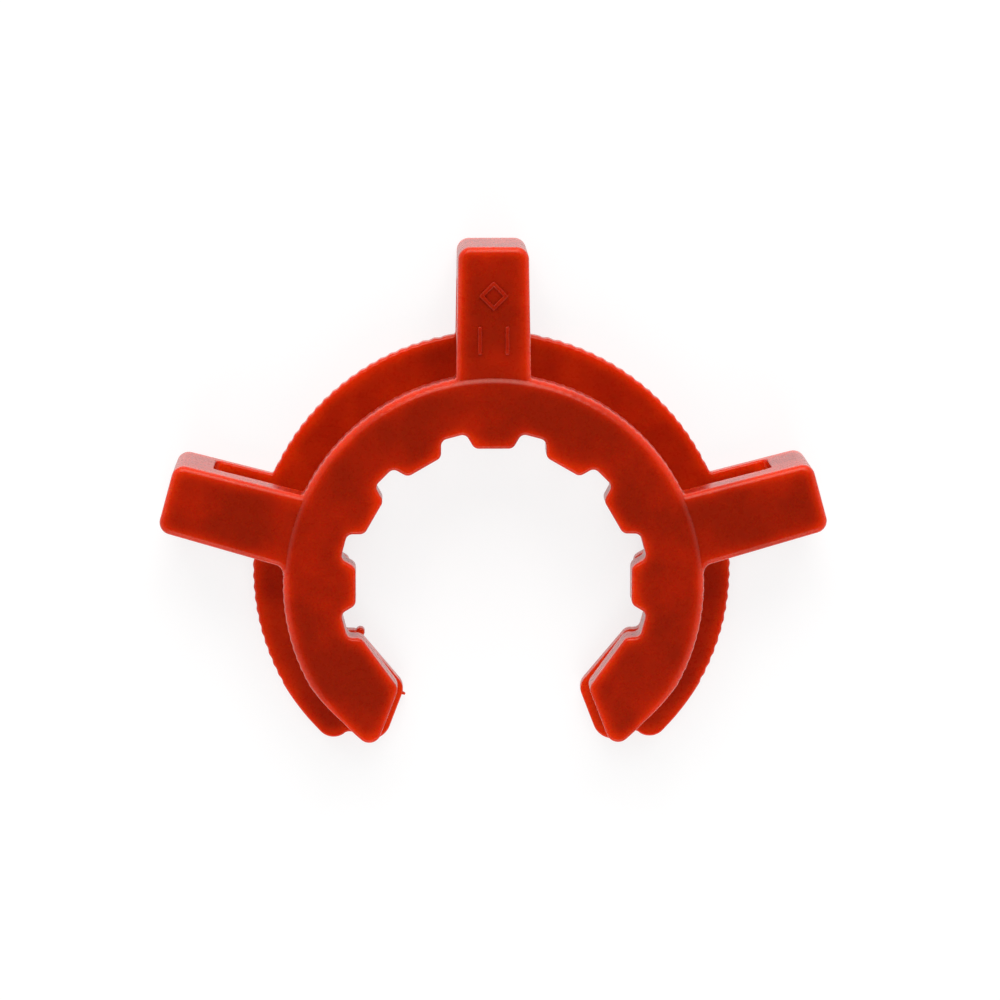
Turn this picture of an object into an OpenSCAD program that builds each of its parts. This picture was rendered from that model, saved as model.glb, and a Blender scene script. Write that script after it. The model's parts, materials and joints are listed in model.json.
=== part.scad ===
// Clip for a conical ground glass joint, moulded in one piece.
// Two C-shaped rings share one bore axis, Z. The small ring grips the tube above the cone,
// the large ring grips the tube below the socket, and the joint's flanges sit in the gap
// between them. Three U-shaped arms tie the rings together and act as their springs.
// The clip lies on the back of its large ring, with the mouth towards -Y.

/* [Overall] */
// Depth of the clip along the bore
clip_h = 13.5; // [12:0.1:18]
// Rounding of the rings' outer rims
rim_round = 0.6; // [0.2:0.05:0.8]

/* [Small ring] */
// Thickness of the small ring
small_t = 4.3; // [2.5:0.1:5]
// Radius that the small ring's teeth grip
small_bore_r = 13.75; // [13:0.05:14.5]
// Outer radius of the small ring over its grip ridges
small_rim_r = 20.85; // [19.5:0.05:22]
// Outer radius of the small ring's plain tips
small_tip_r = 20.3; // [19:0.05:20.6]
// Distance from the bore axis to the plane of each end face of the small ring
small_end_off = 5.15; // [3:0.05:6]

/* [Large ring] */
// Thickness of the large ring
large_t = 2; // [1.8:0.1:3]
// Radius that the large ring's teeth grip
large_bore_r = 14.5; // [13.5:0.05:15.5]
// Outer radius of the large ring over its grip ridges
large_rim_r = 24.2; // [23:0.05:26]
// Outer radius of the large ring's plain tips
large_tip_r = 24.05; // [22.8:0.05:24.1]
// Distance from the bore axis to the plane of each end face of the large ring
large_end_off = 3.95; // [3:0.05:5]
// Distance from the bore axis to the flat toes of the large ring
toe_y = 17.45; // [16.5:0.05:19]
// Depth of the hollow in each toe
toe_hollow = 0.7; // [0.2:0.05:1]
// Width of the flat land on each side of that hollow
toe_land = 0.2; // [0.1:0.05:0.6]

/* [Bore teeth] */
// Notches in one full turn of the tooth pattern
notch_turn = 12; // [12:2:14]
// Notches cut on each side of the clip
notch_side = 4; // [2:1:4]
// Depth of a notch below the tooth tips
notch_depth = 1.6; // [0.8:0.05:2]
// Width of a notch at the tooth tips
notch_mouth_w = 3.4; // [2.6:0.05:4.4]
// Width of a notch at its root
notch_root_w = 2.5; // [1.5:0.05:2.6]

/* [Mouth] */
// Slant of the end faces from the clip's centre plane, in degrees
mouth_slant = 21; // [15:1:26]
// Angle from the top of the clip to the end of the grip ridges
ridge_end = 118.5; // [110:0.5:124]
// Rounding of the outer corners of the tips
tip_round = 1.1; // [0.4:0.1:1.5]
// Rounding of the inner corners of the tips
lip_round = 0.6; // [0.2:0.05:0.8]

/* [Arms] */
// Angle from the top arm to each side arm
arm_spread = 74.7; // [60:0.1:80]
// Reach of the arms from the bore axis
arm_reach = 33.6; // [31:0.1:38]
// Width of an arm at its outer end
arm_w = 6.95; // [5:0.05:8]
// Taper of each side of an arm, in degrees
arm_taper = 1; // [0:0.1:2]
// Thickness of the outer block that joins the two legs of an arm
arm_end_t = 3.8; // [2.5:0.1:5]
// Step from the small ring's face down to the arms' faces
arm_step = 0.4; // [0.1:0.05:0.8]
// Rounding of an arm's outer corners and end edges
arm_round = 0.8; // [0.2:0.05:1.2]
// Fillet inside the slot of an arm
slot_fillet = 0.5; // [0.1:0.05:1]
// Fillet where the sides of an arm meet the rings
root_fillet = 1; // [0.3:0.05:1.5]
// Depth at which the arms start inside the rims
arm_sink = 2; // [1.5:0.1:3]

/* [Hidden] */
$fn = 96;
// Overlap of joined solids and overshoot of cutters
eps = 0.5;
// Angle at which a round crosses the faces that it blends, in degrees
cross = 2;
// Reach of a corner's kite past the faces that it blends, in radii of its round
kite = 2;
// Length that reaches past everything
far = 2 * arm_reach;
// Level of the gap's two walls
gap_low = large_t;
gap_high = clip_h - small_t;
// Level of the arms' faces
arm_top = clip_h - arm_step;
// Radius where the arms begin, inside both rings
arm_in_r = small_tip_r - arm_sink;
// Radius where the slot in an arm ends
slot_r = arm_reach - arm_end_t;
// Half width that an arm's sides would have at the bore axis
arm_half0 = arm_w / 2 + arm_reach * tan(arm_taper);
// Direction square to an arm's side, pointing out of the arm
side_n = [cos(arm_taper), sin(arm_taper)];
// Distance from the bore axis to the line of an arm's side
side_off = arm_half0 * cos(arm_taper);
// Direction square to an end face, pointing into the ring
end_n = [cos(mouth_slant), sin(mouth_slant)];
// Direction along an end face, pointing away from the bore
end_d = [sin(mouth_slant), -cos(mouth_slant)];

// Point on the line n.p = off, at radius r from the axis, on the d side
function on_line(n, d, off, r) = n * off + d * sqrt(r * r - off * off);

// Distance from the centre of a round to the faces it blends, a hair less than its radius
// so that the round crosses them and doesn't just touch
function inset(r) = r * cos(cross);

// Unit vector along v
function unit(v) = v / norm(v);

// Kite from the centre of a round past the corner of two faces, less the round itself.
// Cut from a body it rounds that corner off, and added to one it fills a hollow corner.
module corner(centre, to_a, to_b, r) {
    translate(centre) difference() {
        polygon(kite * r * [[0, 0], to_a, (to_a + to_b) / (1 + to_a * to_b), to_b]);
        circle(r);
    }
}

// Both halves of a shape that is drawn for +X
module both_sides() {
    children();
    mirror([1, 0, 0]) children();
}

// Half section of a disc with rounded rims
module disc_section(r, t) {
    difference() {
        square([r, t]);
        for (z = [rim_round, t - rim_round])
            difference() {
                translate([r - rim_round, z < t / 2 ? 0 : z]) square([rim_round + eps, rim_round]);
                translate([r - rim_round, z]) circle(rim_round);
            }
    }
}

module disc(r, t) {
    rotate_extrude() disc_section(r, t);
}

// Everything that lies more than a degrees from the top of the clip
module beyond(a) {
    both_sides()
        polygon([[0, 0], far * [sin(a), cos(a)], [far * sin(a), -far], [0, -far]]);
}

// Opening of the mouth between the two end faces
module mouth(end_off) {
    function face_x(y) = (end_off - y * sin(mouth_slant)) / cos(mouth_slant);
    polygon([[face_x(0), 0], [face_x(-far), -far], [-face_x(-far), -far], [-face_x(0), 0]]);
}

// Notch centred on +Y, from inside the bore down to its root
module notch(bore_r) {
    flare = (notch_mouth_w - notch_root_w) / 2 / notch_depth;
    root_r = bore_r + notch_depth;
    mouth_r = bore_r - 2 * notch_depth;
    mouth_half = notch_root_w / 2 + (root_r - mouth_r) * flare;
    intersection() {
        circle(root_r);
        polygon([
            [-mouth_half, mouth_r],
            [mouth_half, mouth_r],
            [notch_root_w / 2, root_r],
            [notch_root_w / 2, root_r + eps],
            [-notch_root_w / 2, root_r + eps],
            [-notch_root_w / 2, root_r]
        ]);
    }
}

module bore(bore_r) {
    circle(bore_r);
    for (side = [-1, 1], i = [0:notch_side - 1])
        rotate(side * (i + 0.5) * 360 / notch_turn) notch(bore_r);
}

// Rounds the corner of a tip where the end face leaves the bore
module lip_cut(bore_r, end_off) {
    in = inset(lip_round);
    centre = on_line(end_n, end_d, end_off + in, bore_r + in);
    corner(centre, -end_n, -unit(centre), lip_round);
}

// Rounds the corner of a tip where the end face meets the rim
module tip_cut(rim_r, end_off) {
    in = inset(tip_round);
    centre = on_line(end_n, end_d, end_off + in, rim_r - in);
    corner(centre, -end_n, unit(centre), tip_round);
}

// Cuts each tip of the large ring to a flat, hollowed toe with rounded corners
module toe_cut() {
    outer_y = toe_y - inset(tip_round);
    outer_x = sqrt(pow(large_tip_r - inset(tip_round), 2) - outer_y * outer_y);
    inner_y = toe_y - inset(lip_round);
    inner_x = (large_end_off + inset(lip_round) + inner_y * sin(mouth_slant)) / cos(mouth_slant);
    // The hollow leaves a narrow land beside each rounded corner
    half_span = (outer_x - inner_x) / 2 - toe_land;
    hollow_r = (half_span * half_span + toe_hollow * toe_hollow) / 2 / toe_hollow;
    translate([0, -toe_y - far]) square([far, far]);
    translate([(inner_x + outer_x) / 2, -toe_y + toe_hollow - hollow_r]) circle(hollow_r);
    corner([outer_x, -outer_y], [0, -1], unit([outer_x, -outer_y]), tip_round);
    corner([inner_x, -inner_y], [0, -1], -end_n, lip_round);
}

// C-shaped ring: a ridged rim that steps down to plain tips, a toothed bore and a mouth
module c_ring(t, bore_r, rim_r, tip_r, end_off) {
    difference() {
        union() {
            disc(tip_r, t);
            difference() {
                disc(rim_r, t);
                translate([0, 0, -eps]) linear_extrude(t + 2 * eps) beyond(ridge_end);
            }
        }
        translate([0, 0, -eps]) linear_extrude(t + 2 * eps) {
            bore(bore_r);
            mouth(end_off);
            both_sides() lip_cut(bore_r, end_off);
            both_sides() children();
        }
    }
}

module small_ring() {
    c_ring(small_t, small_bore_r, small_rim_r, small_tip_r, small_end_off)
        tip_cut(small_tip_r, small_end_off);
}

module large_ring() {
    c_ring(large_t, large_bore_r, large_rim_r, large_tip_r, large_end_off)
        toe_cut();
}

// Outline of an arm seen along the bore, with the arm on +Y
module arm_plan() {
    in_half = arm_half0 - arm_in_r * tan(arm_taper);
    out_half = arm_w / 2;
    in = inset(arm_round);
    centre_y = arm_reach - in;
    centre_x = (side_off - in - centre_y * side_n.y) / side_n.x;
    difference() {
        polygon([
            [-in_half, arm_in_r],
            [in_half, arm_in_r],
            [out_half, arm_reach],
            [-out_half, arm_reach]
        ]);
        both_sides() corner([centre_x, centre_y], side_n, [0, 1], arm_round);
    }
}

// Cutter drawn from the side, X outwards and Y along the bore, run across the arm
module across() {
    rotate([90, 0, 90])
        translate([0, 0, -arm_w]) linear_extrude(2 * arm_w) children();
}

// Slot between the two legs of an arm, open towards the rings
module arm_slot() {
    in = inset(slot_fillet);
    difference() {
        translate([arm_in_r - eps, gap_low])
            square([slot_r - arm_in_r + eps, gap_high - gap_low]);
        corner([slot_r - in, gap_low + in], [1, 0], [0, -1], slot_fillet);
        corner([slot_r - in, gap_high - in], [1, 0], [0, 1], slot_fillet);
    }
}

// Rounds the two edges of an arm's outer end
module arm_end_edges() {
    in = inset(arm_round);
    corner([arm_reach - in, in], [1, 0], [0, -1], arm_round);
    corner([arm_reach - in, arm_top - in], [1, 0], [0, 1], arm_round);
}

// Fillets between the two sides of an arm and a rim
module arm_fillets(rim_r) {
    off = side_off + inset(root_fillet);
    reach = rim_r + inset(root_fillet);
    centre = side_n * off + [-side_n.y, side_n.x] * sqrt(reach * reach - off * off);
    both_sides() corner(centre, -side_n, -unit(centre), root_fillet);
}

// U-shaped arm on +Y: a leg on each ring and a block that joins them
module arm() {
    difference() {
        linear_extrude(arm_top) arm_plan();
        across() arm_slot();
        across() arm_end_edges();
    }
    linear_extrude(large_t) arm_fillets(large_rim_r);
    translate([0, 0, gap_high]) linear_extrude(small_t - arm_step) arm_fillets(small_rim_r);
}

module joint_clip() {
    color([0.72, 0.11, 0.03]) {
        large_ring();
        translate([0, 0, gap_high]) small_ring();
        for (a = [-arm_spread, 0, arm_spread])
            rotate(a) arm();
    }
}

joint_clip();
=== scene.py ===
"""Moulded plastic clip for a conical ground glass joint, dressed for the bench.

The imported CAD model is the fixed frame. The clip is modelled again at bench scale, where one unit
is one millimetre, with its grip ridges, rounded edges and mould marks. Then it is brought to metres.
"""
import json
import math

import bmesh
import bpy
from mathutils import Matrix, Vector


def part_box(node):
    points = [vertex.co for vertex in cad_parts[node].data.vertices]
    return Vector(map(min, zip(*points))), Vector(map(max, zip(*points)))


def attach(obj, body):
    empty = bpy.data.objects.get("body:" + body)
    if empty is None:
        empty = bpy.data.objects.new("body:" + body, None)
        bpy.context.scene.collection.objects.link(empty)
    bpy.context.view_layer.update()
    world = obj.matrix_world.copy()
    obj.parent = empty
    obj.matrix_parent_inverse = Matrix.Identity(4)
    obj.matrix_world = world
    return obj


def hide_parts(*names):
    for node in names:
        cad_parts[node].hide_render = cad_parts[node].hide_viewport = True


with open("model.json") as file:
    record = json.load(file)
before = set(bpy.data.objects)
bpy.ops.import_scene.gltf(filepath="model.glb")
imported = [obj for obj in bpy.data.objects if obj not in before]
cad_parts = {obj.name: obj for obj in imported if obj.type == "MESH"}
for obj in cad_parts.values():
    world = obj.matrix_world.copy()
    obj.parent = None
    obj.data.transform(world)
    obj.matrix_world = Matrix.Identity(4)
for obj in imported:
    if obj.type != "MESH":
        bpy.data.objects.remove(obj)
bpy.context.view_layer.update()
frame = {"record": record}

# ---------------------------------------------------------------- sizes, in millimetres and degrees

MM = 0.001
NODE = "joint_clip"
GRIPS = {mount["name"]: mount["dims"] for mount in frame["record"]["mounts"]}
LOW, HIGH = (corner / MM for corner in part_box(NODE))

CLIP_H = HIGH.z
ARM_REACH = HIGH.y
TOE_Y = -LOW.y

SMALL_BORE_R = GRIPS["cone_grip"]["r_mm"]
SMALL_T = GRIPS["cone_grip"]["length_mm"]
SMALL_RIM_R = 20.9
SMALL_TIP_R = 20.3
SMALL_END_OFF = 5.15

LARGE_BORE_R = GRIPS["socket_grip"]["r_mm"]
LARGE_T = GRIPS["socket_grip"]["length_mm"]
LARGE_RIM_R = 24.2
LARGE_TIP_R = 24.05
LARGE_END_OFF = 3.95

GAP_LOW = LARGE_T
GAP_HIGH = CLIP_H - SMALL_T

# Teeth of the bore: flat tips, with a longer flat pad at each side of the mouth
NOTCH_TURN = 12
NOTCH_SIDE = 4
NOTCH_DEPTH = 1.6
NOTCH_MOUTH_W = 3.4
NOTCH_ROOT_W = 2.5
NOTCH_ROUND = 0.5
LARGE_NOTCH_EXTRA = 1.6
TOOTH_SINK = 0.07
TOOTH_ROUND = 0.4
# Half the width and the depth of what is shaved off to make a tooth tip flat
SHAVER_HALF = 2.5
SHAVER_DEPTH = 2
# The blanks start this far inside the teeth, and the teeth's corners lie within this band
BLANK_SPARE = 3 * TOOTH_SINK
TOOTH_BAND = 0.6
SMALL_PAD = 126
LARGE_PAD = 130
PAD_HALF = 4.2

# Mouth and tips
MOUTH_SLANT = 21
TIP_ROUND = 1.2
LIP_ROUND = 1
LARGE_LIP_ROUND = 1.5
# Each toe has a round lobe at its outer and inner corner, and a hollow between them
TOE_OUTER_ROUND = 1.85
TOE_OUTER_RISE = 0.3
TOE_INNER_ROUND = 2.2
TOE_HOLLOW_R = 0.8
# The hollow is cut this much over size, so that it crosses the lobes and doesn't just touch
HOLLOW_SPARE = 0.02
# The tips are all that lies past this angle
TIP_FROM = 112

# Rims: fine ridges across a rounded edge, which end before the tips
SMALL_RIM_ROUND = 0.85
LARGE_RIM_ROUND = 0.35
SMALL_EDGE = 0.35
LARGE_EDGE = 0.2
RIDGE_TURN = 130
RIDGE_STEPS = 8
SMALL_RIDGE = 0.05
LARGE_RIDGE = 0.1
RIDGE_END = 118.5
RIDGE_FADE = 14
# Angle of one step of a ridge, and steps in half a turn, in half a blank and in a part of a flat
STEP = 360 / RIDGE_TURN / RIDGE_STEPS
HALF_TURN = RIDGE_TURN * RIDGE_STEPS // 2
SPIN_HALF = 440
SECTOR = 40

# Arms
ARM_SPREAD = 74.7
ARM_W = 6.95
ARM_TAPER = 1
ARM_END_T = 3.8
ARM_STEP = 0.3
ARM_SINK = 2
ARM_CORNER = 1.2
ARM_EDGE = 0.6
SLOT_EDGE = 0.25
SLOT_FILLET = 0.8
SMALL_FILLET = 0.3
ROOT_FILLET = 1
ARM_TOP = CLIP_H - ARM_STEP
ARM_IN_R = SMALL_TIP_R - ARM_SINK
SLOT_R = ARM_REACH - ARM_END_T

# A plain raised mark on the top arm: a diamond outline over two upright bars
MARK_RISE = 0.22
MARK_ROOT = 0.3
MARK_EDGE = 0.12
MARK_CORNER = 0.16
DIAMOND_Y = 28.8
DIAMOND_OUT = 1.05
DIAMOND_IN = 0.65
BARS_Y = 24.4
BAR_X = 1.35
BAR_W = 0.4
BAR_L = 2.8

# Flash left at the parting line: a nub beside the left pad and a burr at the left lip
NUB_AT = (-13.35, -6.4)
NUB_R = 0.45
NUB_SETBACK = 0.1
NUB_ROUND = 0.25
BURR_AT = (-9.35, -12.65)
BURR_TURN = 24
BURR_L = 1.2
BURR_W = 0.6
BURR_Z = (0.6, 1.3)
BURR_TIP_SHARE = (0.35, 0.5)
BURR_ROUND = 0.05

# Rounds meet the faces that they blend at this angle, so that they cross and don't just touch
CROSS = math.radians(2)
# An edge that turns more than this is a corner, less is a curve
CORNER_ANGLE = math.radians(40)
SMOOTH_ANGLE = math.radians(35)
FLAT_ANGLE = math.radians(0.05)
# Overshoot of cutters, how near counts as at a place, and how near two points count as one
OVER = 0.5
NEAR = 0.01
DOUBLE = 0.001
# A face looks along a direction when its normal has at least this much of it
FACING = 0.9
# Facets of a round: on most edges, on an arm's outer corners, on the mark and on a round cutter
ROUND_STEPS = 5
CORNER_STEPS = 8
MARK_STEPS = 4
ROD_SIDES = 96

# Moulded skin: sizes of the flow clouds and of the grain, depth of the grain, how far in from an
# edge the painted glow reaches, and how deep light runs into the plastic
CLOUD_SIZE = 5
GRAIN_SIZE = 0.5
GRAIN_DEPTH = 0.02
PAINTED_GLOW_REACH = 3
LIGHT_DEPTH = 2
# Painted glow on the thin plate: the large ring is painted brighter, and this fades out over this
# height above it
PAINTED_PLATE_GLOW_FADE = 0.6

# Camera: turned and tipped from the bore's direction, aimed right of and above the bore axis
CAMERA_YAW = math.radians(-1.15)
CAMERA_PITCH = math.radians(7.41)
CAMERA_DISTANCE = 480
CAMERA_AIM = (0.612, 8.556)
CAMERA_LENS = 174.5
CAMERA_SENSOR = 36

# Light tent: strength through its sides and in its opening overhead, between two heights of the sky
TENT_SIDE = 1.1
TENT_TOP = 0.03
OPENING_FROM = 0.55
OPENING_FULL = 0.95

# Soft lamps on both sides of the clip, in metres and watts
LAMP_SIZE = 0.7
LAMP_OUT = 0.65
LAMP_UP = 0.55
WINDOW_POWER = 6.5
REFLECTOR_POWER = 2.8

# Backdrop sheet: its width in metres, how far it lies below the clip in millimetres, and its greys
SHEET_WIDTH = 3
SHEET_DROP = 0.05
SHEET_GREY = 0.8
SHOWN_GREY = 0.25
SHOWN_GLOW = 0.76


# ---------------------------------------------------------------- modelling by hand

def alone(piece):
    """Makes a piece the only one selected, and the active one."""
    if bpy.context.object and bpy.context.object.mode == "EDIT":
        bpy.ops.object.mode_set(mode="OBJECT")
    bpy.ops.object.select_all(action="DESELECT")
    piece.select_set(True)
    bpy.context.view_layer.objects.active = piece
    return piece


def pick(kind, test):
    """In edit mode, selects just the verts, edges or faces that pass the test."""
    bpy.ops.mesh.select_mode(type=kind)
    bpy.ops.mesh.select_all(action="DESELECT")
    mesh = bmesh.from_edit_mesh(bpy.context.object.data)
    parts = {"VERT": mesh.verts, "EDGE": mesh.edges, "FACE": mesh.faces}[kind]
    for part in parts:
        if test(part):
            part.select_set(True)
    mesh.select_flush_mode()
    bmesh.update_edit_mesh(bpy.context.object.data)


def edit(piece):
    """Opens a piece for editing, with nothing selected."""
    alone(piece)
    bpy.ops.object.mode_set(mode="EDIT")
    bpy.ops.mesh.select_all(action="DESELECT")


def done():
    """Closes the piece that is open for editing, and gives it back."""
    bpy.ops.object.mode_set(mode="OBJECT")
    return bpy.context.object


def middle(part):
    """The middle of a face's or an edge's points."""
    return sum((vert.co for vert in part.verts), Vector()) / len(part.verts)


def from_top(point):
    """Angle of a point round the bore, measured from +Y towards +X, in degrees."""
    return math.degrees(math.atan2(point.x, point.y))


def is_corner(edge):
    """Whether two faces meet sharply at an edge."""
    return len(edge.link_faces) == 2 and edge.calc_face_angle(0) > CORNER_ANGLE


def is_upright(edge):
    """Whether an edge runs along the bore."""
    return (edge.verts[0].co - edge.verts[1].co).xy.length < NEAR


def block(name, low, high):
    """A block between two corners, as a start for a piece or a cutter."""
    low, high = Vector(low), Vector(high)
    bpy.ops.object.select_all(action="DESELECT")
    bpy.ops.mesh.primitive_cube_add(size=1, location=(low + high) / 2)
    piece = bpy.context.object
    piece.name = name
    piece.scale = high - low
    bpy.ops.object.transform_apply(location=True, rotation=True, scale=True)
    return piece


def rod(radius, centre, low, high):
    """A round cutter along the bore's direction."""
    bpy.ops.object.select_all(action="DESELECT")
    place = (centre[0], centre[1], (low + high) / 2)
    bpy.ops.mesh.primitive_cylinder_add(
        vertices=ROD_SIDES, radius=radius, depth=high - low, location=place
    )
    bpy.ops.object.transform_apply(location=True, rotation=True, scale=True)
    return bpy.context.object


def combine(body, tool, operation):
    """Joins a tool to a body or cuts it away, and clears the tool."""
    alone(body)
    step = body.modifiers.new(operation.lower(), "BOOLEAN")
    step.operation = operation
    step.solver = "MANIFOLD"
    step.object = tool
    bpy.ops.object.modifier_apply(modifier=step.name)
    bpy.data.objects.remove(tool)


def turned_copy(piece, angle):
    """A copy with its own mesh, turned round the bore from +Y towards +X."""
    copy = piece.copy()
    copy.data = piece.data.copy()
    bpy.context.collection.objects.link(copy)
    copy.data.transform(Matrix.Rotation(-math.radians(angle), 4, "Z"))
    return copy


def merge_flats(piece):
    """Joins coplanar faces, so that each flat is one face."""
    edit(piece)
    bpy.ops.mesh.select_all(action="SELECT")
    bpy.ops.mesh.remove_doubles(threshold=DOUBLE)
    bpy.ops.mesh.dissolve_limited(angle_limit=FLAT_ANGLE)
    done()


def level(piece, heights):
    """Presses the flats at some heights dead level, so that they join their neighbours cleanly."""
    edit(piece)
    for height in heights:
        pick("VERT", lambda vert: abs(vert.co.z - height) < DOUBLE)
        bpy.ops.transform.resize(value=(1, 1, 0), center_override=(0, 0, height))
    done()


def round_edges(piece, width, weight):
    """Rounds the sharp edges. The weight function gives each one's share of the width."""
    mesh = bmesh.new()
    mesh.from_mesh(piece.data)
    share = mesh.edges.layers.float.new("bevel_weight_edge")
    for edge in mesh.edges:
        if is_corner(edge):
            edge[share] = weight(edge)
    mesh.to_mesh(piece.data)
    mesh.free()
    alone(piece)
    step = piece.modifiers.new("rounding", "BEVEL")
    step.limit_method = "WEIGHT"
    step.width = width
    step.segments = ROUND_STEPS
    step.use_clamp_overlap = False
    step.miter_outer = "MITER_SHARP"
    bpy.ops.object.modifier_apply(modifier=step.name)


def file_corners(width, steps):
    """In edit mode, rounds the selected edges."""
    bpy.ops.mesh.bevel(offset=width, offset_type="OFFSET", segments=steps, affect="EDGES")


def split_flats(piece):
    """Parts the flats along spokes, each SECTOR ridge steps apart, so that no face is overlarge."""
    edit(piece)
    for steps in range(0, HALF_TURN, SECTOR):
        turn = math.radians(steps * STEP)
        bpy.ops.mesh.select_all(action="SELECT")
        bpy.ops.mesh.bisect(plane_co=(0, 0, 0), plane_no=(math.cos(turn), -math.sin(turn), 0))
    done()


def inset(radius):
    """How far the centre of a round lies from the faces that it crosses."""
    return radius * math.cos(CROSS)


def meet(normal_a, off_a, normal_b, off_b):
    """The point at given distances from the bore axis along two directions."""
    spin = normal_a.x * normal_b.y - normal_a.y * normal_b.x
    x = (off_a * normal_b.y - off_b * normal_a.y) / spin
    y = (off_b * normal_a.x - off_a * normal_b.x) / spin
    return Vector((x, y))


def wedge(centre, to_a, to_b, radius, low, high):
    """What lies past a round about a centre, between the directions to the two faces it blends."""
    to_a, to_b = to_a.normalized(), to_b.normalized()
    reach = 3 * radius
    corner = Vector((reach, reach))
    piece = block("wedge", (*(centre - corner), low), (*(centre + corner), high))
    turn = math.copysign(1, to_a.x * to_b.y - to_a.y * to_b.x)
    edit(piece)
    for x, y in ((to_a.y, -to_a.x), (-to_b.y, to_b.x)):
        bpy.ops.mesh.select_all(action="SELECT")
        bpy.ops.mesh.bisect(
            plane_co=(*centre, 0), plane_no=(turn * x, turn * y, 0), use_fill=True, clear_outer=True
        )
    done()
    combine(piece, rod(radius, centre, low - OVER, high + OVER), "DIFFERENCE")
    return piece


# ---------------------------------------------------------------- rings

def on_line(normal, along, off, radius):
    """The point at a radius from the bore axis on the line at a distance off from it."""
    return normal * off + along * math.sqrt(radius * radius - off * off)


def ring_blank(name, bore_r, rim_r, base, top):
    """A plain band round the bore, spun in steps that suit the ridges, with a wide mouth."""
    start = math.radians(90 + SPIN_HALF * STEP)
    mid_r = (bore_r + rim_r) / 2
    place = (mid_r * math.cos(start), mid_r * math.sin(start), (base + top) / 2)
    bpy.ops.object.select_all(action="DESELECT")
    bpy.ops.mesh.primitive_plane_add(size=1, location=place, rotation=(math.pi / 2, 0, start))
    ring = bpy.context.object
    ring.name = name
    ring.scale = (rim_r - bore_r, top - base, 1)
    bpy.ops.object.transform_apply(location=True, rotation=True, scale=True)
    edit(ring)
    bpy.ops.mesh.select_all(action="SELECT")
    turn = math.radians(2 * SPIN_HALF * STEP)
    bpy.ops.mesh.spin(steps=2 * SPIN_HALF, angle=turn, center=(0, 0, 0), axis=(0, 0, 1))
    bpy.ops.mesh.select_all(action="SELECT")
    bpy.ops.mesh.normals_make_consistent(inside=False)
    return done()


def spoke(angle):
    """The direction from the bore axis at an angle from the top."""
    return Vector((math.sin(math.radians(angle)), math.cos(math.radians(angle))))


def tip_directions(side):
    """Unit vectors square to an end face into the ring, and along it away from the bore."""
    slant = math.radians(MOUTH_SLANT)
    into = Vector((side * math.cos(slant), math.sin(slant)))
    away = Vector((side * math.sin(slant), -math.cos(slant)))
    return into, away


def trim(ring, side, normal, off):
    """Cuts a tip of a ring off square to a direction, at a distance from the bore axis."""
    edit(ring)
    pick("FACE", lambda face: side * from_top(middle(face)) > TIP_FROM)
    bpy.ops.mesh.bisect(
        plane_co=(*(normal * off), 0), plane_no=(*normal, 0), use_fill=True, clear_outer=True
    )
    done()


def round_lip(ring, side, end_off, pad, radius, low, high):
    """Rounds the corner between an end face and the pad, which has an angle and a radius."""
    into, _ = tip_directions(side)
    out = spoke(side * pad[0])
    centre = meet(into, end_off + inset(radius), out, pad[1] + inset(radius))
    combine(ring, wedge(centre, -into, -out, radius, low, high), "DIFFERENCE")


def trim_small_tip(ring, side):
    """Cuts one end face of the small ring and rounds its two corners."""
    into, away = tip_directions(side)
    low, high = GAP_HIGH - OVER, CLIP_H + OVER
    trim(ring, side, -into, -SMALL_END_OFF)
    pad = (SMALL_PAD, SMALL_BORE_R - TOOTH_SINK)
    round_lip(ring, side, SMALL_END_OFF, pad, LIP_ROUND, low, high)
    centre = on_line(into, away, SMALL_END_OFF + inset(TIP_ROUND), SMALL_TIP_R - inset(TIP_ROUND))
    combine(ring, wedge(centre, -into, centre, TIP_ROUND, low, high), "DIFFERENCE")


def trim_large_tip(ring, side):
    """Cuts one end face of the large ring and shapes its toe: two lobes with a hollow between."""
    into, _ = tip_directions(side)
    down = Vector((0, -1))
    low, high = -OVER, LARGE_T + OVER
    trim(ring, side, -into, -LARGE_END_OFF)
    trim(ring, side, down, TOE_Y)
    pad = (LARGE_PAD, LARGE_BORE_R - TOOTH_SINK)
    round_lip(ring, side, LARGE_END_OFF, pad, LARGE_LIP_ROUND, low, high)
    inner_in = inset(TOE_INNER_ROUND)
    inner = meet(into, LARGE_END_OFF + inner_in, down, TOE_Y - inner_in)
    fall = TOE_Y - TOE_OUTER_RISE - TOE_OUTER_ROUND
    outer_r = LARGE_TIP_R - inset(TOE_OUTER_ROUND)
    outer = Vector((side * math.sqrt(outer_r ** 2 - fall * fall), -fall))
    # The hollow's round is as far from both lobes as its radius and theirs
    span = outer - inner
    to_inner = TOE_HOLLOW_R + TOE_INNER_ROUND
    to_outer = TOE_HOLLOW_R + TOE_OUTER_ROUND
    along = (to_inner ** 2 - to_outer ** 2 + span.length_squared) / 2 / span.length
    drop = math.sqrt(to_inner ** 2 - along ** 2)
    across = Vector((side * span.y, -side * span.x)).normalized()
    hollow = inner + span.normalized() * along + across * drop
    combine(ring, wedge(inner, hollow - inner, -into, TOE_INNER_ROUND, low, high), "DIFFERENCE")
    combine(ring, wedge(outer, hollow - outer, outer, TOE_OUTER_ROUND, low, high), "DIFFERENCE")
    combine(ring, rod(TOE_HOLLOW_R + HOLLOW_SPARE, hollow, low, high), "DIFFERENCE")


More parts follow.
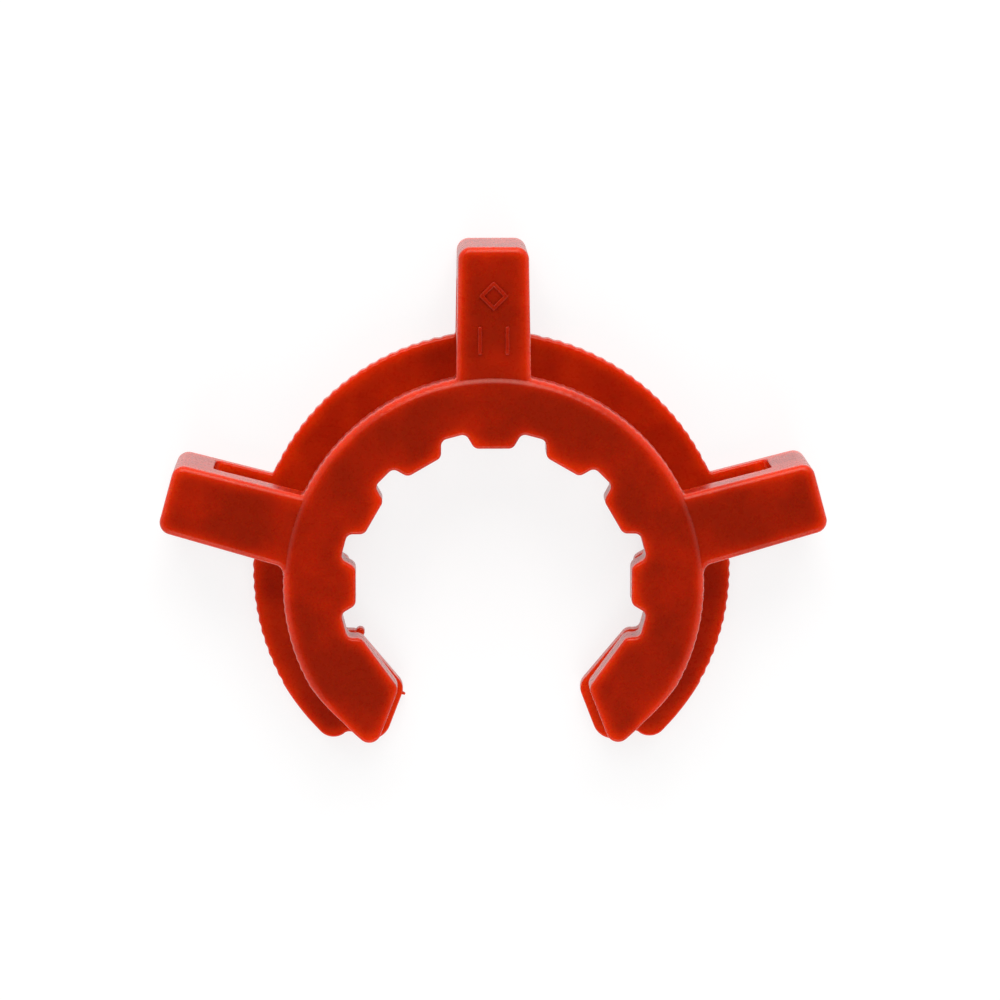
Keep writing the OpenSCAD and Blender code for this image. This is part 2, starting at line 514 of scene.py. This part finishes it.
def notch_cutter(bore_r, extra, base, top):
    """The cutter for one notch of the bore: narrower at its root, with round corners there."""
    root_r = bore_r + NOTCH_DEPTH
    mouth_r = bore_r - NOTCH_DEPTH
    flare = (NOTCH_MOUTH_W - NOTCH_ROOT_W) / NOTCH_DEPTH
    half = (NOTCH_ROOT_W + extra) / 2
    cutter = block("notch", (-half, mouth_r, base - OVER), (half, root_r, top + OVER))
    edit(cutter)
    pick("FACE", lambda face: face.normal.y < -FACING)
    wide = 1 + (root_r - mouth_r) * flare / 2 / half
    bpy.ops.transform.resize(value=(wide, 1, 1), center_override=(0, mouth_r, 0))
    pick("EDGE", lambda edge: middle(edge).y > root_r - NEAR and is_upright(edge))
    file_corners(NOTCH_ROUND, ROUND_STEPS)
    return done()


def cut_teeth(ring, bore_r, extra, pad, base, top):
    """Flattens the bore into tooth tips and end pads, then cuts the notches between them."""
    pitch = 360 / NOTCH_TURN
    tip_r = bore_r - TOOTH_SINK
    shaver, pad_shaver = (
        block("shaver", (-half, tip_r - SHAVER_DEPTH, base - OVER), (half, tip_r, top + OVER))
        for half in (SHAVER_HALF, PAD_HALF)
    )
    notch = notch_cutter(bore_r, extra, base, top)
    cutters = [(shaver, 0)]
    for side in (-1, 1):
        cutters += [(shaver, side * i * pitch) for i in range(1, NOTCH_SIDE)]
        cutters += [(notch, side * (i + 0.5) * pitch) for i in range(NOTCH_SIDE)]
        cutters += [(pad_shaver, side * pad)]
    for cutter, angle in cutters:
        combine(ring, turned_copy(cutter, angle), "DIFFERENCE")
    for cutter in (shaver, pad_shaver, notch):
        bpy.data.objects.remove(cutter)
    merge_flats(ring)
    edit(ring)
    pick("EDGE", lambda edge: (
        is_upright(edge) and is_corner(edge) and middle(edge).xy.length < bore_r + TOOTH_BAND
    ))
    file_corners(TOOTH_ROUND, ROUND_STEPS)
    done()


def arm_gap(angle, rim_r):
    """How far round the rim, in millimetres, an angle lies from the side of the nearest arm."""
    nearest = min(abs(angle - arm) for arm in (-ARM_SPREAD, 0, ARM_SPREAD))
    return math.radians(nearest) * rim_r - ARM_W / 2


def raise_ridges(ring, tip_r, crest_r, rounding, depth):
    """Lifts the rim between the tips to its crests and presses the grip ridges into it."""
    edit(ring)
    mesh = bmesh.from_edit_mesh(ring.data)
    groups = {}
    for vert in mesh.verts:
        radius = vert.co.xy.length
        angle = from_top(vert.co)
        past = (abs(angle) - RIDGE_END) / RIDGE_FADE
        if radius < tip_r - rounding - NEAR or past > 1:
            continue
        share = max(0, (radius - tip_r) / rounding + 1)
        phase = round(angle / STEP) % RIDGE_STEPS
        wave = (1 - math.cos(2 * math.pi * phase / RIDGE_STEPS)) / 2
        if past > 0 or arm_gap(angle, crest_r) < ROOT_FILLET:
            wave = 0
        lift = (crest_r - tip_r) * (1 - max(0, past)) - share * wave * depth
        groups.setdefault(round(lift, 3), set()).add(vert.index)
    for lift, members in sorted(groups.items()):
        pick("VERT", lambda vert: vert.index in members)
        grow = 1 + lift / tip_r
        bpy.ops.transform.resize(value=(grow, grow, 1), center_override=(0, 0, 0))
    done()


def rim_weight(tip_r, share):
    """Gives the ridged rim its wide rounding and every other edge of a ring its share of it."""
    def weight(edge):
        at = middle(edge)
        past = (abs(from_top(at)) - RIDGE_END) / RIDGE_FADE
        if at.xy.length < tip_r - 2 * NEAR:
            return share
        return 1 + (share - 1) * min(1, max(0, past))
    return weight


def small_ring():
    """The small ring, which grips the cone's tube."""
    ring = ring_blank("small_ring", SMALL_BORE_R - BLANK_SPARE, SMALL_TIP_R, GAP_HIGH, CLIP_H)
    for side in (-1, 1):
        trim_small_tip(ring, side)
    cut_teeth(ring, SMALL_BORE_R, 0, SMALL_PAD, GAP_HIGH, CLIP_H)
    round_edges(ring, SMALL_RIM_ROUND, rim_weight(SMALL_TIP_R, SMALL_EDGE / SMALL_RIM_ROUND))
    split_flats(ring)
    raise_ridges(ring, SMALL_TIP_R, SMALL_RIM_R, SMALL_RIM_ROUND, SMALL_RIDGE)
    return ring


def large_ring():
    """The large ring, a thin plate that grips the socket's tube."""
    ring = ring_blank("large_ring", LARGE_BORE_R - BLANK_SPARE, LARGE_TIP_R, 0, LARGE_T)
    for side in (-1, 1):
        trim_large_tip(ring, side)
    cut_teeth(ring, LARGE_BORE_R, LARGE_NOTCH_EXTRA, LARGE_PAD, 0, LARGE_T)
    round_edges(ring, LARGE_RIM_ROUND, rim_weight(LARGE_TIP_R, LARGE_EDGE / LARGE_RIM_ROUND))
    split_flats(ring)
    raise_ridges(ring, LARGE_TIP_R, LARGE_RIM_R, LARGE_RIM_ROUND, LARGE_RIDGE)
    return ring


# ---------------------------------------------------------------- arms

def fill_root(bar, side, radius, rim_r, low, high):
    """Fills the corner between one side of the arm and a rim to a small round."""
    taper = math.radians(ARM_TAPER)
    half = ARM_W / 2 + ARM_REACH * math.tan(taper)
    out = Vector((side * math.cos(taper), math.sin(taper)))
    along = Vector((-side * math.sin(taper), math.cos(taper)))
    centre = on_line(out, along, half * math.cos(taper) + inset(radius), rim_r + inset(radius))
    combine(bar, wedge(centre, -out, -centre, radius, low, high), "UNION")


def plain_bar():
    """A tapered bar along +Y with round outer corners and a slot that leaves two legs."""
    half = ARM_W / 2 + (ARM_REACH - ARM_IN_R) * math.tan(math.radians(ARM_TAPER))
    bar = block("arm", (-half, ARM_IN_R, 0), (half, ARM_REACH, ARM_TOP))
    edit(bar)
    pick("FACE", lambda face: face.normal.y > FACING)
    bpy.ops.transform.resize(value=(ARM_W / 2 / half, 1, 1), center_override=(0, ARM_REACH, 0))
    pick("EDGE", lambda edge: middle(edge).y > ARM_REACH - NEAR and is_upright(edge))
    file_corners(ARM_CORNER, CORNER_STEPS)
    done()
    slot = block("slot", (-ARM_W, ARM_IN_R - OVER, GAP_LOW), (ARM_W, SLOT_R, GAP_HIGH))
    edit(slot)
    pick("EDGE", lambda edge: middle(edge).y > SLOT_R - NEAR and not is_upright(edge))
    file_corners(SLOT_FILLET, ROUND_STEPS)
    done()
    combine(bar, slot, "DIFFERENCE")
    return bar


def arm_edge_share(edge):
    """An arm edge's rounding: full along its faces, slight along its slot, none inside a ring."""
    at = middle(edge)
    upper = at.z > (GAP_LOW + GAP_HIGH) / 2
    if at.xy.length < (SMALL_RIM_R if upper else LARGE_RIM_R) - 2 * NEAR:
        return 0
    if at.z > ARM_TOP - NEAR or at.z < NEAR:
        return 1
    if GAP_LOW - NEAR < at.z < GAP_HIGH + NEAR:
        return SLOT_EDGE / ARM_EDGE
    return 0


def arm(bar, angle, left_fillet, right_fillet):
    """An arm at its place round the rings, with its own fillets at the roots."""
    piece = turned_copy(bar, 0)
    for rim_r, low, high in ((LARGE_RIM_R, 0, GAP_LOW), (SMALL_RIM_R, GAP_HIGH, ARM_TOP)):
        fill_root(piece, -1, left_fillet, rim_r, low, high)
        fill_root(piece, 1, right_fillet, rim_r, low, high)
    merge_flats(piece)
    round_edges(piece, ARM_EDGE, arm_edge_share)
    level(piece, (0, GAP_LOW, GAP_HIGH, ARM_TOP))
    piece.data.transform(Matrix.Rotation(-math.radians(angle), 4, "Z"))
    return piece


def at_place(piece, x, y, angle=0):
    """Brings a piece made about the bore axis to its place, turned from +Y towards +X."""
    turn = Matrix.Rotation(-math.radians(angle), 4, "Z")
    piece.data.transform(Matrix.Translation((x, y, 0)) @ turn)
    return piece


def mark_piece(low, high):
    """A flat raised bar of the mark, from two opposite corners, with its feet sunk in the arm."""
    piece = block("mark", (*low, ARM_TOP - MARK_ROOT), (*high, ARM_TOP + MARK_RISE))
    edit(piece)
    pick("EDGE", is_upright)
    file_corners(MARK_CORNER, MARK_STEPS)
    done()
    return piece


def raise_mark(body):
    """Raises the plain mark on the top arm's face: a diamond outline over two upright bars."""
    diamond = mark_piece((-DIAMOND_OUT, -DIAMOND_OUT), (DIAMOND_OUT, DIAMOND_OUT))
    hole = block("hole", (-DIAMOND_IN, -DIAMOND_IN, 0), (DIAMOND_IN, DIAMOND_IN, CLIP_H + OVER))
    combine(diamond, hole, "DIFFERENCE")
    bar = mark_piece((-BAR_W / 2, -BAR_L / 2), (BAR_W / 2, BAR_L / 2))
    top = ARM_TOP + MARK_RISE - NEAR
    for piece in (diamond, bar):
        round_edges(piece, MARK_EDGE, lambda edge: float(middle(edge).z > top))
    combine(body, at_place(diamond, 0, DIAMOND_Y, 45), "UNION")
    for side in (-1, 1):
        combine(body, at_place(turned_copy(bar, 0), side * BAR_X, BARS_Y), "UNION")
    bpy.data.objects.remove(bar)


def leave_flash(body):
    """Leaves the small nub and the burr that the mould's parting line left on the large ring."""
    nub = rod(NUB_R, NUB_AT, NUB_SETBACK, LARGE_T - NUB_SETBACK)
    round_edges(nub, NUB_ROUND, lambda edge: float(not is_upright(edge)))
    combine(body, nub, "UNION")
    half_l, half_w = BURR_L / 2, BURR_W / 2
    burr = block("burr", (-half_l, -half_w, BURR_Z[0]), (half_l, half_w, BURR_Z[1]))
    edit(burr)
    pick("FACE", lambda face: face.normal.x > FACING)
    tip = (half_l, 0, sum(BURR_Z) / 2)
    bpy.ops.transform.resize(value=(1, *BURR_TIP_SHARE), center_override=tip)
    done()
    round_edges(burr, BURR_ROUND, lambda edge: 1)
    combine(body, at_place(burr, *BURR_AT, BURR_TURN), "UNION")


def clip():
    """The whole clip: two rings and three arms as one moulding."""
    body = large_ring()
    combine(body, small_ring(), "UNION")
    bar = plain_bar()
    combine(body, arm(bar, 0, SMALL_FILLET, SMALL_FILLET), "UNION")
    combine(body, arm(bar, ARM_SPREAD, SMALL_FILLET, ROOT_FILLET), "UNION")
    combine(body, arm(bar, -ARM_SPREAD, ROOT_FILLET, SMALL_FILLET), "UNION")
    bpy.data.objects.remove(bar)
    raise_mark(body)
    leave_flash(body)
    body.name = "clip_moulding"
    return body


def finish_piece(piece):
    """Brings a piece from the bench to metres, smooths its curves and keeps its flats flat."""
    edit(piece)
    bpy.ops.mesh.select_all(action="SELECT")
    bpy.ops.mesh.remove_doubles(threshold=2 * DOUBLE)
    bpy.ops.mesh.dissolve_degenerate(threshold=DOUBLE)
    bpy.ops.mesh.normals_make_consistent(inside=False)
    bpy.ops.transform.resize(value=(MM, MM, MM), center_override=(0, 0, 0))
    done()
    alone(piece)
    bpy.ops.object.shade_smooth_by_angle(angle=SMOOTH_ANGLE)
    step = piece.modifiers.new("flats", "WEIGHTED_NORMAL")
    step.keep_sharp = True
    bpy.ops.object.modifier_apply(modifier=step.name)
    return piece


# ---------------------------------------------------------------- materials

def linear(code):
    """A colour from its sRGB hex code."""
    parts = [int(code[i:i + 2], 16) / 255 for i in (1, 3, 5)]
    return tuple(p / 12.92 if p <= 0.04045 else ((p + 0.055) / 1.055) ** 2.4 for p in parts) + (1,)


def add(tree, kind, links=(), **settings):
    """Adds a node with its settings. A link is (its input, another node, that node's output)."""
    node = tree.nodes.new(kind)
    for name, value in settings.items():
        if name[0].isupper():
            node.inputs[name.replace("_", " ")].default_value = value
        else:
            setattr(node, name, value)
    for socket, source, output in links:
        tree.links.new(source.outputs[output], node.inputs[socket])
    return node


def moulded_acetal():
    """Injection-moulded acetal: a waxy red with a satin skin, clouded where the melt flowed.

    Light runs a few millimetres into it. On top of that, its colour is painted brighter orange near
    the edges and on the thin plate, a painted glow, so the thick middles look deeper.
    """
    material = bpy.data.materials.new("moulded_acetal")
    material.use_nodes = True
    tree = material.node_tree
    tree.nodes.clear()
    place = add(tree, "ShaderNodeTexCoord")
    # Clouds where the melt flowed
    cloud = add(
        tree, "ShaderNodeTexNoise", [("Vector", place, "Object")],
        Scale=1 / (CLOUD_SIZE * MM), Detail=3,
    )
    vary = add(
        tree, "ShaderNodeMapRange", [("Value", cloud, "Fac")],
        From_Min=0.3, From_Max=0.7, To_Min=-0.1, To_Max=0.3,
    )
    # Painted glow: the colour is painted brighter orange where the bevel node's rounded normal
    # leans, near an edge, over the flats and a little down the walls, and every wall is painted a
    # little brighter all over; it stands in for light shining out through the edges
    soft = add(tree, "ShaderNodeBevel", samples=8, Radius=PAINTED_GLOW_REACH * MM)
    lean = add(tree, "ShaderNodeSeparateXYZ", [("Vector", soft, 0)])
    upward = add(tree, "ShaderNodeMath", [(0, lean, "Z")], operation="ABSOLUTE")
    painted_flat_glow = add(
        tree, "ShaderNodeMapRange", [("Value", upward, 0)],
        From_Min=0.995, From_Max=0.74, To_Min=0, To_Max=0.85,
    )
    painted_wall_glow = add(
        tree, "ShaderNodeMapRange", [("Value", upward, 0)],
        From_Max=0.6, To_Min=0.25, To_Max=0.85,
    )
    # The painted edge glow: the lesser of the two painted glows
    painted_edge_glow = add(
        tree, "ShaderNodeMath", [(0, painted_flat_glow, "Result"), (1, painted_wall_glow, "Result")],
        operation="MINIMUM",
    )
    # Painted glow: the large ring, a thin plate, is painted brighter, as if lit through from behind
    split = add(tree, "ShaderNodeSeparateXYZ", [("Vector", place, "Object")])
    painted_plate_glow = add(
        tree, "ShaderNodeMapRange", [("Value", split, "Z")],
        From_Min=(LARGE_T + PAINTED_PLATE_GLOW_FADE) * MM, From_Max=LARGE_T * MM, To_Min=0, To_Max=0.3,
    )
    # All the painted glow: the painted edge glow plus the painted glow of the thin plate
    glow = add(
        tree, "ShaderNodeMath", [(0, painted_edge_glow, 0), (1, painted_plate_glow, "Result")], operation="ADD",
    )
    # The flow clouds, the plastic's own tone, plus the painted glow
    blend = add(tree, "ShaderNodeMath", [(0, vary, 0), (1, glow, 0)], operation="ADD")
    # Deep red to bright orange; the bright end is reached mostly where glow is painted
    colour = add(tree, "ShaderNodeValToRGB", [("Fac", blend, 0)])
    stops = colour.color_ramp.elements
    stops[0].color = linear("#8C1600")
    stops[1].color = linear("#D42E00")
    stops.new(0.35).color = linear("#A61A00")
    # A satin skin with a fine grain, which spreads the highlights a little
    skin = add(
        tree, "ShaderNodeTexNoise", [("Vector", place, "Object")],
        Scale=1 / (GRAIN_SIZE * MM), Detail=2,
    )
    fine = add(
        tree, "ShaderNodeBump", [("Height", skin, "Fac")], Strength=0.2, Distance=GRAIN_DEPTH * MM,
    )
    rough = add(tree, "ShaderNodeMapRange", [("Value", skin, "Fac")], To_Min=0.23, To_Max=0.33)
    shader = add(
        tree, "ShaderNodeBsdfPrincipled",
        [
            ("Base Color", colour, "Color"),
            ("Normal", fine, "Normal"),
            ("Roughness", rough, "Result"),
        ],
        IOR=1.48, Specular_IOR_Level=0.4, Specular_Tint=linear("#FFD6C4"),
        Subsurface_Weight=0.7, Subsurface_Scale=LIGHT_DEPTH * MM, Subsurface_Radius=(1, 0.22, 0.08),
    )
    add(tree, "ShaderNodeOutputMaterial", [("Surface", shader, "BSDF")])
    return material


def studio_white():
    """Matt white backdrop paper: it takes the clip's soft shadow and shows white to the eye."""
    material = bpy.data.materials.new("studio_white")
    material.use_nodes = True
    tree = material.node_tree
    tree.nodes.clear()
    ray = add(tree, "ShaderNodeLightPath")
    seen = add(
        tree, "ShaderNodeMath", [(0, ray, "Is Camera Ray"), (1, ray, "Is Glossy Ray")],
        operation="MAXIMUM",
    )
    seen = add(
        tree, "ShaderNodeMath", [(0, seen, 0), (1, ray, "Is Transmission Ray")],
        operation="MAXIMUM",
    )
    sheet = add(tree, "ShaderNodeBsdfDiffuse", Color=(SHEET_GREY, SHEET_GREY, SHEET_GREY, 1))
    shown = add(tree, "ShaderNodeBsdfDiffuse", Color=(SHOWN_GREY, SHOWN_GREY, SHOWN_GREY, 1))
    glow = add(tree, "ShaderNodeEmission", Strength=SHOWN_GLOW)
    white = add(tree, "ShaderNodeAddShader", [(0, shown, 0), (1, glow, 0)])
    both = add(tree, "ShaderNodeMixShader", [(0, seen, 0), (1, sheet, 0), (2, white, 0)])
    add(tree, "ShaderNodeOutputMaterial", [("Surface", both, 0)])
    return material


# ---------------------------------------------------------------- scene

moulding = finish_piece(clip())
moulding.data.materials.clear()
moulding.data.materials.append(moulded_acetal())
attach(moulding, "root")
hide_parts(NODE)

bpy.ops.object.select_all(action="DESELECT")
bpy.ops.mesh.primitive_plane_add(size=SHEET_WIDTH, location=(0, 0, -SHEET_DROP * MM))
floor = bpy.context.object
floor.name = "floor"
floor.data.materials.append(studio_white())


def place_camera():
    """Looks down the bore from a little above the top arm's side, nearly square to the rings."""
    yaw, pitch = CAMERA_YAW, CAMERA_PITCH
    drawn_in = math.cos(pitch)
    right = Vector((math.cos(yaw), 0, -math.sin(yaw)))
    back = Vector((math.sin(yaw) * drawn_in, math.sin(pitch), math.cos(yaw) * drawn_in))
    up = back.cross(right)
    aim = Vector((0, 0, CLIP_H * MM)) + right * CAMERA_AIM[0] * MM + up * CAMERA_AIM[1] * MM
    camera = bpy.data.objects.new("camera", bpy.data.cameras.new("camera"))
    bpy.context.collection.objects.link(camera)
    camera.matrix_world = Matrix((right, up, back)).transposed().to_4x4()
    camera.location = aim + back * (CAMERA_DISTANCE * MM)
    camera.data.sensor_width = CAMERA_SENSOR
    camera.data.lens = CAMERA_LENS
    camera.data.clip_start = 0.01
    bpy.context.scene.camera = camera


def soft_lamp(name, place, power):
    """A square lamp at a place in metres, aimed at the clip."""
    lamp = bpy.data.objects.new(name, bpy.data.lights.new(name, "AREA"))
    bpy.context.collection.objects.link(lamp)
    lamp.location = place
    lamp.rotation_euler = (Vector() - Vector(place)).to_track_quat("-Z", "Y").to_euler()
    lamp.data.shape = "SQUARE"
    lamp.data.size = LAMP_SIZE
    lamp.data.energy = power


def light_tent():
    """A white tent lit through its sides, with a dim opening overhead to look through."""
    world = bpy.data.worlds.new("light_tent")
    bpy.context.scene.world = world
    world.use_nodes = True
    tree = world.node_tree
    tree.nodes.clear()
    way = add(tree, "ShaderNodeTexCoord")
    split = add(tree, "ShaderNodeSeparateXYZ", [("Vector", way, "Generated")])
    opening = add(
        tree, "ShaderNodeMapRange", [("Value", split, "Z")],
        From_Min=OPENING_FROM, From_Max=OPENING_FULL, To_Min=TENT_SIDE, To_Max=TENT_TOP,
    )
    ray = add(tree, "ShaderNodeLightPath")
    strength = add(
        tree, "ShaderNodeMath", [(0, opening, "Result"), (1, ray, "Is Camera Ray")],
        operation="MAXIMUM",
    )
    glow = add(tree, "ShaderNodeBackground", [("Strength", strength, 0)])
    add(tree, "ShaderNodeOutputWorld", [("Surface", glow, "Background")])


place_camera()
light_tent()
soft_lamp("window", (0, LAMP_OUT, LAMP_UP), WINDOW_POWER)
soft_lamp("reflector", (0, -LAMP_OUT, LAMP_UP), REFLECTOR_POWER)
bpy.context.scene.view_settings.view_transform = "Standard"
